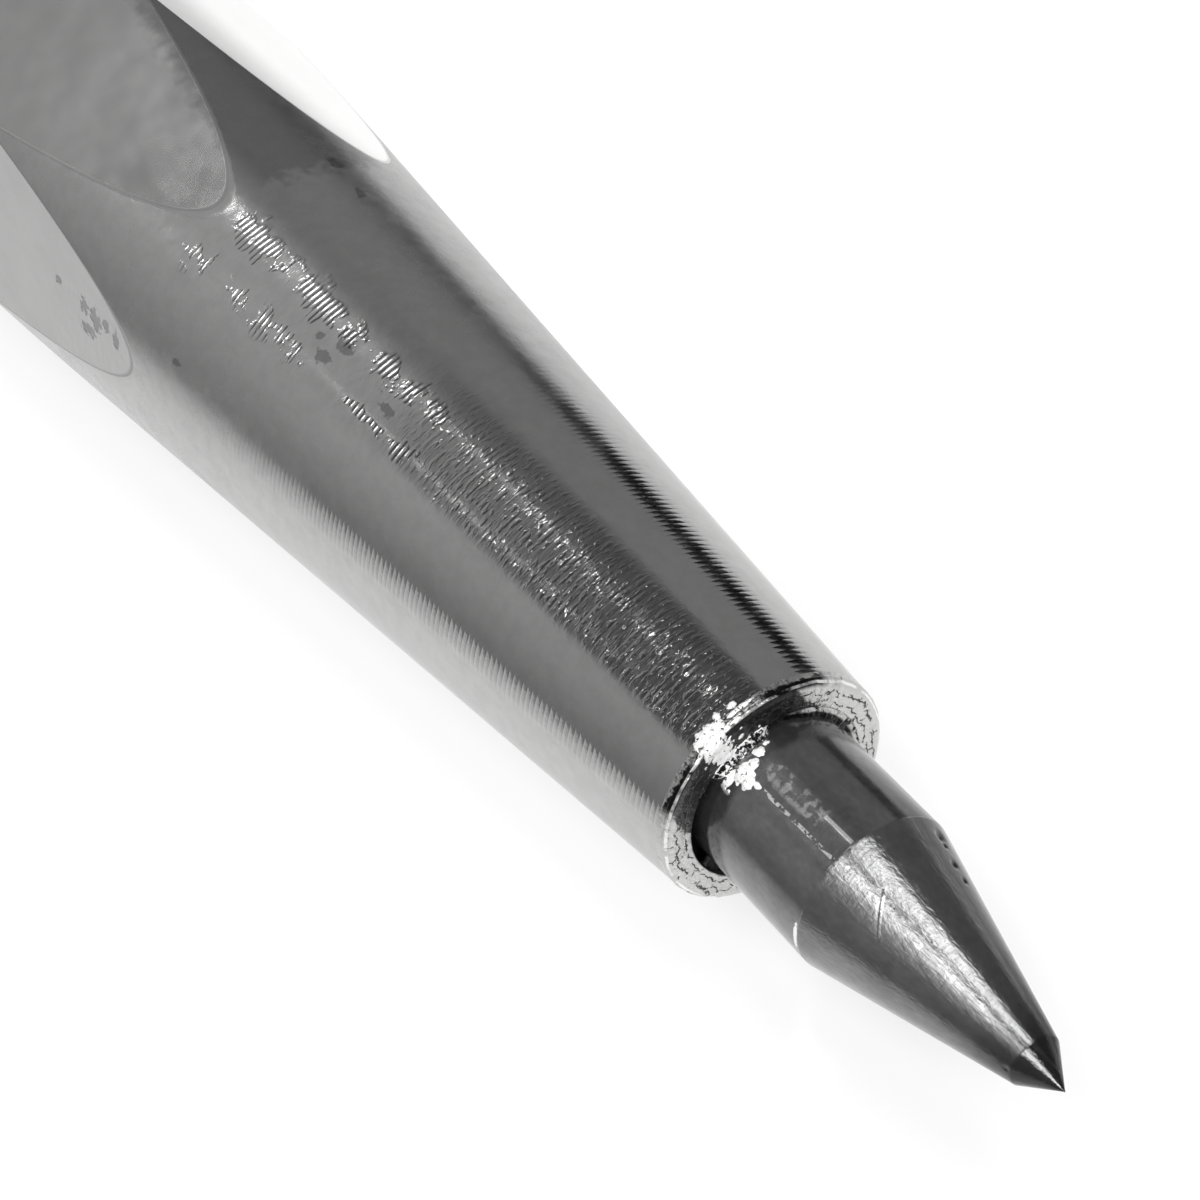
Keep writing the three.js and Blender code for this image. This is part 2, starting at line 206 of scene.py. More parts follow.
class Graph:
    """The nodes of a material or of the world."""

    def __init__(self, owner):
        owner.use_nodes = True
        self.owner = owner
        self.tree = owner.node_tree
        self.place = self.make("ShaderNodeTexCoord", "Object")

    def node(self, kind, sockets=None, **settings):
        made = self.tree.nodes.new(kind)
        for key, value in settings.items():
            setattr(made, key, value)
        for key, value in (sockets or {}).items():
            self.feed(made.inputs[key], value)
        return made

    def make(self, kind, output, sockets=None, **settings):
        """Adds a node and gives one of its outputs."""
        return Value(self, self.node(kind, sockets, **settings).outputs[output])

    def feed(self, socket, value):
        if isinstance(value, Value):
            self.tree.links.new(value.socket, socket)
        else:
            socket.default_value = value

    def finish(self, **sockets):
        """Feeds the shader's sockets; an underscore in a name stands for a space."""
        for key, value in sockets.items():
            self.feed(self.tree.nodes["Principled BSDF"].inputs[key.replace("_", " ")], value)
        return self.owner

    def math(self, operation, a, b=0):
        return self.make("ShaderNodeMath", 0, {0: a, 1: b}, operation=operation)

    def noise(self, size, stretch=(1, 1, 1), detail=2, rough=0.5, offset=0):
        """Noise from 0 to 1 with features of about this size, its place stretched and moved."""
        vector = self.make("ShaderNodeVectorMath", 0, {
            0: self.place, 1: stretch, 2: (offset, offset, offset)}, operation="MULTIPLY_ADD")
        return self.make("ShaderNodeTexNoise", "Fac", {
            "Vector": vector, "Scale": 1 / (size * MM), "Detail": detail, "Roughness": rough})

    def ramp(self, value, stops):
        """Maps a value through (place, grey) stops."""
        made = self.node("ShaderNodeValToRGB", {"Fac": value})
        elements = made.color_ramp.elements
        elements.remove(elements[-1])
        elements[0].position = stops[0][0]
        for position, grey in stops[1:]:
            elements.new(position)
        for element, (position, grey) in zip(elements, stops):
            element.color = (grey, grey, grey, 1)
        return Value(self, made.outputs["Color"])

    def band(self, value, low, high):
        """0 below low, 1 above high, smooth between; reversed where low is above high."""
        return self.make("ShaderNodeMapRange", "Result", {
            "Value": value, "From Min": low, "From Max": high}, interpolation_type="SMOOTHSTEP")

    def between(self, value, low, high, soft=3):
        """1 from low to high, fading to 0 over soft inside both ends."""
        return self.band(value, low, low + soft) * self.band(value, high, high - soft)

    def mix(self, share, a, b):
        made = self.node("ShaderNodeMix", {"Factor": share}, data_type="RGBA")
        for socket, value in ((made.inputs[6], a), (made.inputs[7], b)):
            self.feed(socket, (value, value, value, 1) if isinstance(value, float) else value)
        return Value(self, made.outputs[2])

    def bump(self, height, depth):
        return self.make("ShaderNodeBump", "Normal", {
            "Height": height, "Distance": depth * MM, "Filter Width": BUMP_FILTER})

    def hypot(self, a, b):
        return self.math("SQRT", a * a + b * b)

    def spots(self, u, v, marks, ragged, outer=1.15, inner=0.85):
        """1 inside ovals with a ragged edge, each given by its middle and its two half sizes."""
        return self.largest(*(
            self.band(self.hypot((u - mark[0]) / mark[2], (v - mark[1]) / mark[3]) + ragged,
                      outer, inner) for mark in marks))

    def largest(self, *values):
        result = values[0]
        for value in values[1:]:
            result = self.math("MAXIMUM", result, value)
        return result

    def split(self, vector):
        parts = self.node("ShaderNodeSeparateXYZ", {0: vector}).outputs
        return [Value(self, part) for part in parts]

    def axes(self):
        """How far in front of the datum plane, towards +Y and above the tool's axis."""
        x, y, z = self.split(self.place)
        return (x - NOSE_X) / MM, y / MM, (z - AXIS_Z) / MM

    def turned(self):
        """Place in front of the datum plane, angle from +Y towards +Z, distance from the axis."""
        ahead, y, up = self.axes()
        return ahead, self.math("ARCTAN2", up, y) * (360 / TAU), self.hypot(y, up)


def new_graph(name):
    return Graph(bpy.data.materials.new(name))


# Materials

BUMP_FILTER = 0.3
NICKEL = (0.54, 0.54, 0.537, 1)
WORN_NICKEL = (0.5, 0.5, 0.497, 1)
NOSE_NICKEL = (0.56, 0.56, 0.555, 1)
# Near white, painted where a lamp or the bright floor reflects
PAINTED_REFLECTION_WHITE = (0.97, 0.97, 0.965, 1)
EDGE_TINT = (0.82, 0.82, 0.82, 1)
LATHE_FEED = 0.123
LATHE_DEPTH = 0.0077
APOTHEM_MM = HEX_APOTHEM / MM

# Stretches of the two worn rows where the lathe's rings still show
UPPER_ROW = ((-15.1, -14), (-13.7, -13.4), (-13, -11.8), (-11.5, -11.15), (-10.65, -10),
             (-9.8, -9.35), (-8.95, -8.7))
LOWER_ROW = ((-15.5, -14.95), (-14.1, -13.65), (-13.2, -12.3), (-12.15, -11.8), (-10.45, -9.35),
             (-9.05, -8.5))

# Dark marks on the taper: place, angle, half length, half width
TAPER_MARKS = (
    (-11.45, 101, 0.2, 2.2), (-11.8, 96.5, 0.1, 1.5), (-11.25, 93.8, 0.22, 2),
    (-9.6, 98.7, 0.22, 1.8), (-14.5, 51, 0.16, 1.6), (-15.5, 50.7, 0.18, 1.8),
    (-9.36, -176, 0.06, 3), (-14.46, 136.5, 0.12, 1.2),
)


def row_mask(g, ahead, stretches):
    """1 on the stretches of a row, read from a ramp over the last 16 mm to the datum plane."""
    stops = [(0, 0)]
    for low, high in stretches:
        a, b = 1 + low / 16, 1 + high / 16
        stops += [(a - 0.002, 0), (a + 0.004, 1), (b - 0.004, 1), (b + 0.002, 0)]
    return g.ramp(ahead / 16 + 1, stops)


def ring_depth(g, ahead, y, angle, worn_top, top_fresh, ragged):
    """How deep the lathe's rings are left, and where sparks of fresh metal are."""
    rough_ahead = ahead + ragged
    rough_angle = g.noise(0.4, detail=1) * 16 + angle - 8
    upper, lower = g.between(rough_angle, 83, 94, 2), g.between(rough_angle, 102.8, 109.4, 1.5)
    sparks = g.band(g.noise(0.18, detail=2, offset=0.1), 0.61, 0.67)
    sparks = sparks * g.band(ahead, -9.6, -8.6) * g.largest(upper, lower)
    open_rows = g.largest(row_mask(g, rough_ahead, UPPER_ROW) * upper,
                          row_mask(g, rough_ahead, LOWER_ROW) * lower)
    patches = g.band(g.noise(0.12, stretch=(1.2, 0.7, 0.7)), 0.47, 0.61)
    strokes = worn_top * top_fresh * (patches * 0.4 + 0.05)
    comb = g.largest(g.between(angle, 34, 56, 4) * 0.34, g.between(angle, 137, 152) * 0.55,
                     g.band(abs(angle - 94.54), 74.48, 91.67) * 0.25)
    uneven = g.noise(0.1, stretch=(1, 0.5, 0.5)) * 1.2 + 0.4
    depth = g.band(ahead - y * 0.76, -12.5, -5.5) * comb * uneven
    deeper = g.band(ahead, -13, -11) * 0.2 + 0.52
    return g.largest(depth, strokes, open_rows * deeper, sparks * 0.8), sparks


def turned_nickel():
    """Plated taper: the lathe's rings show in worn rows, at the nose and in strokes on top."""
    g = new_graph("turned_nickel")
    ahead, y, up = g.axes()
    angle = g.math("ARCTAN2", up, y) * (360 / TAU)
    ragged = (g.noise(0.25, detail=3) - 0.5) * 1.2
    worn_top = g.between(angle, 71, 112, 5)
    top_fresh = g.band(ahead, -10.5, -6)
    depth, sparks = ring_depth(g, ahead, y, angle, worn_top, top_fresh, ragged)

    wander = g.noise(1.2, stretch=(0.5, 1, 1), detail=3)
    share = g.math("FRACT", (ahead + NOSE_X / MM) / LATHE_FEED + wander * 0.5)
    skin = g.noise(0.3, detail=4, rough=0.6)
    weave = g.noise(0.1, stretch=(1.3, 0.6, 0.6), detail=3, rough=0.7)
    weave = weave * worn_top * (top_fresh * 0.17 + 0.06)
    height = share * (1 - share) * 4 * depth + weave + skin * 0.5

    nibbled = (g.noise(0.15, detail=3) - 0.5) * 2.2
    marks = g.spots(ahead, angle, TAPER_MARKS, nibbled)
    # Darker in colour on the upper +Y side of the taper, more than about 15.5 mm behind the datum
    # plane.
    darker_rear = g.band(ahead + ragged, -15.2, -15.7) * g.between(angle, 30, 80, 8)
    # Painted shade: the taper beside the top flat's scallop edge is painted darker, and made
    # rougher there.
    scallop_edge = g.band(APOTHEM_MM - up + ragged * 0.02, 0.024, 0.006)
    # Painted shade: the top of the taper is painted darker from about 9 mm behind the datum plane
    # towards the nose, except at the sparks.
    painted_shade = g.band(ahead, -10, -8.3) * 0.3 + g.band(ahead, -7, -4) * 0.12
    painted_shade = g.largest(painted_shade * worn_top * (1 - sparks), scallop_edge * 0.42)
    colour = g.mix(g.band(skin, 0.3, 0.7), WORN_NICKEL, NICKEL)
    colour = g.mix(painted_shade, colour, 0.14)
    colour = g.mix(darker_rear * 0.6, colour, 0.25)
    shine = g.largest(worn_top, g.band(ahead - y * 0.76, -11.5, -6.5))
    rough = g.ramp(g.noise(0.4), [(0.3, 0.22), (0.7, 0.29)]) - shine * 0.12
    return g.finish(
        Base_Color=g.mix(marks * 0.5, colour, 0.12),
        Metallic=1,
        Specular_Tint=EDGE_TINT,
        Roughness=g.mix(scallop_edge, rough, 0.5),
        Normal=g.bump(height, LATHE_DEPTH),
    )


# Dents in the flat on the -Y side: place, height above the axis, half length, half height
FLAT_DENTS = (
    (-18.7, 1.92, 0.12, 0.1), (-17.65, 1.95, 0.16, 0.14), (-17.2, 1.86, 0.22, 0.2),
    (-16.8, 1.97, 0.14, 0.12), (-16.4, 1.93, 0.1, 0.16), (-17.5, 1.55, 0.3, 0.1),
)


def drawn_nickel():
    """Plated flats of the drawn bar: satin, with soft waves and the dents of use near the nose."""
    g = new_graph("drawn_nickel")
    ahead, y, up = g.axes()
    nibbled = (g.noise(0.14, detail=3) - 0.5) * 2.6
    dents = g.spots(ahead, up, FLAT_DENTS, nibbled, 1.2, 0.7) * g.band(y, 0, -1)
    used = g.band(ahead, -20, -18) * g.band(y, -2.6, -2.9)
    wrinkles = g.noise(0.25, stretch=(1.6, 1, 1), detail=3, rough=0.6) * used
    waves = g.noise(0.9, stretch=(0.5, 1, 1)) + g.noise(0.12) * 0.05

    # The top flat is painted darker along the right edge of its scallop and towards its end, as
    # painted shade
    taper = NOSE_RADIUS / MM - ahead * TAPER_SLOPE
    rim = g.math("SQRT", g.math("MAXIMUM", taper * taper - APOTHEM_MM ** 2, 0))
    to_rim = rim - y - g.noise(0.35, detail=4) * 0.7
    painted_shade_and_highlight = g.band(to_rim, 0.15, -0.35) * g.band(y, 0.1, 1)
    darker = g.largest(painted_shade_and_highlight * 0.65, g.band(ahead, -19.8, -16.2) * 0.43)
    darker = darker * g.band(up, APOTHEM_MM - 0.05, APOTHEM_MM - 0.02)
    colour = g.mix(g.noise(1.5, detail=3), (0.41, 0.41, 0.408, 1), (0.46, 0.46, 0.457, 1))
    colour = g.mix(darker, colour, 0.15)
    colour = g.mix(dents * 0.6, colour, 0.12)
    scallop_edge = g.band(taper - g.hypot(y, up), 0.014, 0.004)
    # Painted reflection: the flats on the +Y side are painted nearly white, as they reflect the
    # bright floor.
    return g.finish(
        Base_Color=g.mix(g.band(y, 2.2, 3.2), colour, PAINTED_REFLECTION_WHITE),
        Metallic=1,
        Roughness=g.mix(scallop_edge, g.ramp(g.noise(0.6), [(0.3, 0.14), (0.7, 0.19)]), 0.5),
        Normal=g.bump(waves - dents * 0.7 + wrinkles * 0.5, 0.01),
    )


# How far out from the axis the soot and painted shade reach round the nose: angle and radius
SOOT_AND_SHADE_REACH = (
    (0, 1.55), (30, 1.6), (36, 1.72), (48, 1.8), (54, 1.97), (58, 2.18), (92, 2.2), (112, 2.2),
    (138, 2.16), (146, 1.98), (152, 1.85), (158, 1.6), (200, 1.5), (360, 1.5),
)


def crack_line(g, radius, middle, offset):
    """A crooked broken crack that runs round the nose at about this distance from the axis."""
    crooked = g.noise(0.4, detail=4, rough=0.6, offset=offset)
    away = abs(radius - crooked * 0.5 - (middle - 0.25))
    gaps = g.band(g.noise(0.22, offset=offset + 0.2), 0.44, 0.5)
    return g.band(away, 0.022, 0.008) * gaps


def crusted_nickel():
    """Nose end: rough plating with cracks, soot and painted shade beside the braze, a painted
    shade line at its edge and a painted highlight line on its lip.
    """
    g = new_graph("crusted_nickel")
    ahead, angle, radius = g.turned()
    lumps = g.noise(0.1, detail=3)
    grit = g.noise(0.045, detail=3, rough=0.7)
    cell = g.make("ShaderNodeTexVoronoi", "Distance", {"Vector": g.place, "Scale": 1 / (0.3 * MM)},
                  feature="DISTANCE_TO_EDGE")
    short_cracks = g.band(grit * 0.12 + cell, 0.11, 0.07) * g.band(g.noise(0.16), 0.56, 0.62)
    cracks = g.largest(short_cracks, crack_line(g, radius, 1.98, 0),
                       crack_line(g, radius, 1.8, 0.35))

    # Dark on the face over the top, beside the braze: soot, and painted shade as well.
    reach = g.ramp(g.math("FLOORED_MODULO", angle, 360) / 360,
                   [(a / 360, (r - 1.5) / 0.8) for a, r in SOOT_AND_SHADE_REACH]) * 0.8 + 1.5
    soot_and_shade = g.band(radius + (grit - 0.5) * 0.3 - reach, 0.04, -0.04)
    soot_and_shade = soot_and_shade * (g.band(angle, 120.3, 103.1) * 0.1 + 0.86)
    # Painted shade: a dark line round the nose's edge, on both sides of the top.
    painted_edge_shade = g.largest(g.between(angle, 38, 78, 6), g.between(angle, 110, 144, 7))
    widest = g.largest(g.between(angle, 30, 50, 12), g.between(angle, 128, 150, 12))
    past_edge = ahead + EDGE_BACK / MM
    within = (lumps - 0.5) * 0.2 + widest * 0.1 + past_edge + 0.05
    painted_edge_shade = painted_edge_shade * g.band(past_edge, 0.1, 0.06) * g.band(within, -0.02, 0.02)
    # Painted highlight: a white line on the lip just past the edge.
    lip = g.between(past_edge, 0.022, 0.062, 0.008) * g.band(g.noise(0.25, detail=3), 0.36, 0.56)
    dark = g.largest(soot_and_shade * 0.97, painted_edge_shade, cracks * 0.9)
    return g.finish(
        Base_Color=g.mix(lip * 0.85, g.mix(dark, NOSE_NICKEL, 0.015), (0.95, 0.95, 0.94, 1)),
        Metallic=1,
        Roughness=g.ramp(grit, [(0.3, 0.25), (0.7, 0.45)]),
        Normal=g.bump(grit * 0.4 + lumps - cracks, 0.018),
    )


# The bore is painted near black: painted shade in the narrow gap round the rod, mottled like soot.
def dark_bore():
    g = new_graph("dark_bore")
    soot_and_shade = g.noise(0.2, detail=3)
    return g.finish(
        Base_Color=g.ramp(soot_and_shade, [(0.3, 0.02), (0.7, 0.06)]),
        Metallic=0.6,
        Roughness=0.6,
        Normal=g.bump(soot_and_shade, 0.02),
    )


# A bright nick on the rod's shoulder: place, angle, half length, half width
ROD_NICK = (2.23, 161, 0.045, 11)


def ground_carbide():
    """Dark ground carbide: marks round the rod and lengthwise streaks on its cone, with painted
    glints, painted highlights and painted shade.
    """
    g = new_graph("ground_carbide")
    ahead, angle, radius = g.turned()
    shoulder = SHOULDER_AHEAD / MM
    marks = g.noise(0.05, stretch=(1, 0.1, 0.1))
    streaks = g.noise(0.06, stretch=(0.3, 1, 1), detail=3, rough=0.65)
    on_cone = g.band(ahead, shoulder - 0.02, shoulder)
    height = streaks * (on_cone * 0.6 + 0.15) + marks * 0.15

    # Painted shade: darker on the flank of rod and cone, towards the tip, beside the highlight
    # near the tip and on the point
    tone = g.ramp(g.noise(0.5, detail=4), [(0.25, 0.19), (0.75, 0.24)])
    tone = tone * g.ramp(g.noise(0.1, stretch=(0.6, 1, 1), detail=3, rough=0.65),
                         [(0.3, 0.85), (0.7, 1.1)])
    tone = tone * (1 - g.between(angle, 6, 48, 12) * g.band(ahead, 0.2, 2.3) * 0.55)
    tone = tone * (1 - g.band(ahead, 4.2, 6.4) * (g.between(angle, 2, 52, 12) * 0.5 + 0.3))
    off_highlight = 1 - g.between(angle, 89, 104, 5)
    tone = tone * (1 - off_highlight * g.band(ahead, 5.3, 6.3) * 0.4)
    tone = tone * (1 - g.band(ahead, 6.24, 6.28) * 0.35)
    # Painted highlight: patches on top of the rod, between the two lines where the lamps reflect,
    # are painted lighter.
    painted_shade_and_highlight = g.between(angle, 82, 99) * g.between(ahead, 0.1, 1.7, 0.2)
    painted_shade_and_highlight = painted_shade_and_highlight * g.band(g.noise(0.14, detail=3, offset=0.3), 0.44, 0.58)
    tone = tone * (painted_shade_and_highlight * 1.4 + 1)

    # Painted highlights: the two lines where the lamps reflect on the rod are painted lighter and
    # made smoother, one of them broken.
    broken = g.band(g.noise(0.08, stretch=(0.7, 1, 1)), 0.46, 0.54)
    painted_glints = g.largest(
        g.between(angle, 101.2, 104.4, 0.8) * broken * g.between(ahead, 0.1, 2.28, 0.06),
        g.between(angle, 86.2, 89.6, 0.8) * g.between(ahead, 1.55, 2.28, 0.05))
    nibbled = (g.noise(0.05) - 0.5) * 1.2
    nick = g.spots(ahead, angle, [ROD_NICK], nibbled)
    run = (ahead - 3.1) / 0.48
    scratch = g.band(abs(angle - 91 - run * 31), 2.29, 0.86) * g.between(run, 0, 1, 0.08)
    tone = tone + painted_glints * 0.7 + scratch * 0.22
    rough = g.ramp(g.noise(0.15, detail=3), [(0.3, 0.13), (0.7, 0.21)])
    return g.finish(
        Base_Color=g.mix(nick, g.ramp(tone, [(0, 0), (1, 1)]), 0.95),
        Metallic=0.9 - nick * 0.6,
        Roughness=rough - painted_glints * 0.1,
        Normal=g.bump(height, 0.008),
    )


def silver_braze():
    """Silver braze, painted white and less metallic on its upper side as a painted highlight, and
    painted near black elsewhere as painted shade in the gap.
    """
    g = new_graph("silver_braze")
    ahead, angle, radius = g.turned()
    past_face = ahead + FACE_BACK / MM
    lumps = g.noise(0.06, detail=4, rough=0.6)
    bead = g.band(radius, 1.72, 1.66) * g.band(past_face, 0.1, 0.04)
    pits = g.band(g.noise(0.09, detail=3, rough=0.7) - bead * 0.13, 0.42, 0.36)
    painted_lit_side = g.between(angle, 66, 124, 9)
    crust = g.band(radius, 1.57, 1.62) * g.between(angle, -60, 62, 8)
    crust = crust * g.band(g.noise(0.12, detail=3), 0.35, 0.45)
    # Painted highlight: white on the upper side; painted shade: near black outside it; the pits
    # are near black too.
    colour = g.mix(g.largest(pits, 1 - painted_lit_side), PAINTED_REFLECTION_WHITE, 0.02)
    return g.finish(
        Base_Color=g.mix(crust, colour, NOSE_NICKEL),
        Metallic=1 - painted_lit_side * (1 - pits) * 0.7,
        Roughness=g.ramp(lumps, [(0.3, 0.25), (0.7, 0.5)]),
        Normal=g.bump(lumps, 0.02),
    )


def satin_steel():
    """Stamped spring steel with a satin plated finish and grain along the strip."""
    g = new_graph("satin_steel")
    grain = g.noise(0.04, stretch=(0.03, 1, 1))
    return g.finish(
        Base_Color=g.mix(g.noise(2, detail=3), (0.55, 0.55, 0.54, 1), (0.62, 0.62, 0.61, 1)),
        Metallic=1,
        Roughness=g.ramp(grain, [(0.3, 0.22), (0.7, 0.34)]),
        Normal=g.bump(grain, 0.002),
    )


def cap_nickel():
    g = new_graph("cap_nickel")
    wear = g.noise(0.8, detail=4)
    return g.finish(
        Base_Color=g.mix(wear, (0.6, 0.6, 0.59, 1), NICKEL),
        Metallic=1,
        Roughness=g.ramp(wear, [(0.3, 0.16), (0.7, 0.3)]),
        Normal=g.bump(g.noise(0.07, stretch=(1, 0.04, 0.04), detail=1), 0.004),
        Anisotropic=0.4,
        Tangent=g.make("ShaderNodeTangent", 0, direction_type="RADIAL", axis="X"),
    )


def dull_magnet():
    g = new_graph("dull_magnet")
    grain = g.noise(0.06, detail=4)
    pits = g.band(g.noise(0.18), 0.34, 0.26)
    return g.finish(
        Base_Color=g.mix(pits, (0.2, 0.2, 0.205, 1), 0.06),
        Metallic=0.7,
        Roughness=g.ramp(grain, [(0.3, 0.45), (0.7, 0.6)]),
        Normal=g.bump(grain - pits, 0.015),
    )


# Barrel: a hexagonal section cut down by the turned outline

FLAT_STEPS = 100
CORNER_STEPS = 6


def hex_columns():
    """(angle, radius) round the bar's section, with small rounds at its corners."""
    columns = []
    half_flat = (HEX_APOTHEM - HEX_CORNER_ROUND) * tan(pi / 6)
    round_centre = (HEX_APOTHEM - HEX_CORNER_ROUND) / cos(pi / 6)
    for side in range(6):
        facing = pi / 2 + side * TAU / 6
        for along in span(-half_flat, half_flat, FLAT_STEPS):
            columns.append((facing + atan2(along, HEX_APOTHEM), hypot(along, HEX_APOTHEM)))
        corner = facing + TAU / 12
        for step in range(1, CORNER_STEPS):
            turn = lerp(-TAU / 12, TAU / 12, step / CORNER_STEPS)
            across = HEX_CORNER_ROUND * sin(turn)
            out = round_centre + HEX_CORNER_ROUND * cos(turn)
            columns.append((corner + atan2(across, out), hypot(across, out)))
    return columns


def taper_radius(x):
    return NOSE_RADIUS + (NOSE_X - x) * TAPER_SLOPE


def chamfer_radius(x):
    return HEX_CORNER - REAR_CHAMFER_DEPTH + (x - BAR_REAR_X) / REAR_CHAMFER_SLOPE


def bar_radius(x, hex_radius):
    turned = min(taper_radius(x), chamfer_radius(x))
    return smooth_min(turned, hex_radius, SCALLOP_SOFTNESS)


# Rows of points over the rear chamfer, the flats, the scallops and the taper
BAR_ROWS = (6, 12, 16, 40)
BORE_ROWS = 4
HOLE_SKIN_DEPTH = 6 * MM
SCALLOP_REACH = 0.5 * MM
NOSE_LUMPS = 0.016 * MM
BURR_HEIGHT = 0.018 * MM

# Stretches of the nose from taper to face: tilt of the normal at both ends, length in mm, rows
NOSE_STRETCHES = ((4.9, 4.9, 0.12, 6), (4.9, 45, 0.06, 6), (45, 60, 0.08, 6), (60, 88, 0.08, 6),
                  (88, 89.6, 0.4, 20))


def nose_profile():
    """(x, radius, share of lumps, burr) from the taper's end over edge and face to the bore."""
    x = NOSE_X - EDGE_BACK - 0.15 * MM
    radius = taper_radius(x)
    points = []
    travelled = 0
    for start, end, length, rows in NOSE_STRETCHES:
        step = length / rows * MM
        for i in range(rows):
            from_edge = (travelled - 0.14 * MM) / (0.022 * MM)
            burr = exp(-from_edge * from_edge)
            points.append((x, radius, smooth_step(0.1 * MM, 0.2 * MM, travelled), burr))
            tilt = radians(lerp(start, end, (i + 0.5) / rows))
            x += step * cos(tilt)
            radius -= step * sin(tilt)
            travelled += step
            if radius < BORE_RADIUS:
                return points
    return points


def nose_lump(x, angle):
    """Uneven plating on the edge and face."""
    spot = Vector((x, cos(angle) * NOSE_RADIUS, sin(angle) * NOSE_RADIUS))
    return NOSE_LUMPS * (noise.noise(spot / (0.4 * MM)) + 0.6 * noise.noise(spot / (0.13 * MM)))


def make_barrel():
    profile = nose_profile()
    highest = max(point[0] for point in profile)
    column_rows = []
    for angle, hex_radius in hex_columns():
        chamfer_x = BAR_REAR_X + max(
            hex_radius - HEX_CORNER + REAR_CHAMFER_DEPTH, 0) * REAR_CHAMFER_SLOPE
        scallop_x = NOSE_X - (hex_radius - NOSE_RADIUS) / TAPER_SLOPE
        ends = (BAR_REAR_X, chamfer_x + 0.1 * MM, scallop_x - SCALLOP_REACH,
                scallop_x + SCALLOP_REACH, profile[0][0])
        points = [ring_point(x, TAPPED_HOLE_RADIUS, angle)
                  for x in (BAR_REAR_X + HOLE_SKIN_DEPTH, BAR_REAR_X)]
        for start, end, count in zip(ends, ends[1:], BAR_ROWS):
            points += [ring_point(x, bar_radius(x, hex_radius), angle)
                       for x in spread(start, end, count)]
        ragged = 0.6 + 0.8 * noise.noise(Vector((angle * 9, 0, 0)))
        for x, radius, share, burr in profile:
            lump = nose_lump(x, angle) * share
            back = min(highest + abs(lump), bar_high.x) - highest
            points.append(ring_point(x + back, radius + lump * 0.5 + burr * BURR_HEIGHT * ragged,
                                     angle))
        for depth in span(0.03 * MM, NOSE_X - rod_low.x - 1 * MM, BORE_ROWS):
            points.append(ring_point(bar_high.x - depth, BORE_RADIUS, angle))
        column_rows.append(points)
    flats_end = 2 + sum(BAR_ROWS[:2]) + BAR_ROWS[2] // 2
    taper_end = 2 + sum(BAR_ROWS)
    bore_start = taper_end + len(profile)

    def zone(row):
        if row < 1 or row >= bore_start:
            return 3
        if row < flats_end:
            return 1
        return 0 if row < taper_end else 2

    piece = tube("barrel_skin", list(zip(*column_rows)),
                 [turned_nickel(), drawn_nickel(), crusted_nickel(), dark_bore()], zone)
    place(piece, "barrel", "plated_bar", "hex_barrel")


# Carbide rod

ROD_LEAN = 0.021
ROD_COLUMNS = 480

# Chips in the carbide, in mm and degrees: place in front of the datum plane, angle, size, depth
CHIPS = ((2.62, 22, 0.09, 0.06), (2.8, 23, 0.05, 0.04), (3.17, 25, 0.06, 0.06),
         (3.47, 24, 0.05, 0.04), (6.2, 150, 0.04, 0.015))

# Scratches: place and angle of both ends, then depth
SCRATCHES = ((3.1, 91, 3.34, 106.5, 0.004), (3.34, 106.5, 3.58, 122, 0.004),
             (2.22, 148, 2.25, 175, 0.01))
SCRATCH_WIDTH = 0.015


def rod_mark(ahead, angle, radius):
    """How far a chip or a scratch lowers the carbide at a place, in mm as the rest here."""
    lower = 0
    for x, turn, size, depth in CHIPS:
        aside = radius * remainder(angle - radians(turn), TAU)
        away = hypot(ahead - x, aside) / size
        lower += depth * exp(-away * away) if away < 3 else 0
    for x0, turn0, x1, turn1, depth in SCRATCHES:
        start = Vector((x0, radians(turn0) * radius))
        line = Vector((x1, radians(turn1) * radius)) - start
        spot = Vector((ahead, (angle % TAU) * radius)) - start
        share = min(max(spot.dot(line) / line.length_squared, 0), 1)
        away = (spot - line * share).length / SCRATCH_WIDTH
        lower += depth * exp(-away * away) if away < 3 else 0
    return lower


def make_rod():
    cone_start = NOSE_X + SHOULDER_AHEAD
    cone_end = POINT_X - POINT_RADIUS / POINT_SLOPE
    edge = 0.025 * MM
    profile = [(rod_low.x, 0.4 * ROD_RADIUS), (rod_low.x, ROD_RADIUS - 0.25 * MM),
               (rod_low.x + 0.25 * MM, ROD_RADIUS)]
    profile += [(x, ROD_RADIUS) for x in spread(NOSE_X - 1 * MM, cone_start - edge, 50)]
    profile += [(cone_start - edge, ROD_RADIUS), (cone_start, ROD_RADIUS - 0.001 * MM)]
    profile += [(x, lerp(ROD_RADIUS, POINT_RADIUS, (x - cone_start) / (cone_end - cone_start)))
                for x in spread(cone_start + edge, cone_end - edge, 150)]
    profile += [(cone_end - 0.01 * MM, POINT_RADIUS + 0.002 * MM), (cone_end, POINT_RADIUS)]
    profile += [(x, (POINT_X - x) * POINT_SLOPE)
                for x in span(cone_end + edge, POINT_X - 0.02 * MM, 16)]
    profile += [(POINT_X, 0.004 * MM)]
    rows = []
    for x, radius in profile:
        ahead = x - NOSE_X
        aside = -ROD_LEAN * max(ahead + 0.5 * MM, 0) * min(1, ROD_RADIUS / max(radius, 1e-9))
        row = []
        for angle in spread(0, TAU, ROD_COLUMNS):
            mark = rod_mark(ahead / MM, angle, radius / MM) * MM if ahead > 0 else 0
            px, py, pz = ring_point(x, max(radius - mark, 0.003 * MM), angle)
            row.append((px, py + aside, pz))
        rows.append(row)
    piece = tube("carbide_rod", rows, [ground_carbide()])
    sharpen(piece, 9)
    place(piece, "barrel", "carbide", "carbide_tip")


# Braze: solidified metal, proud on the upper side of the joint, sunk in the gap elsewhere and
# missing over one sector; angles in degrees

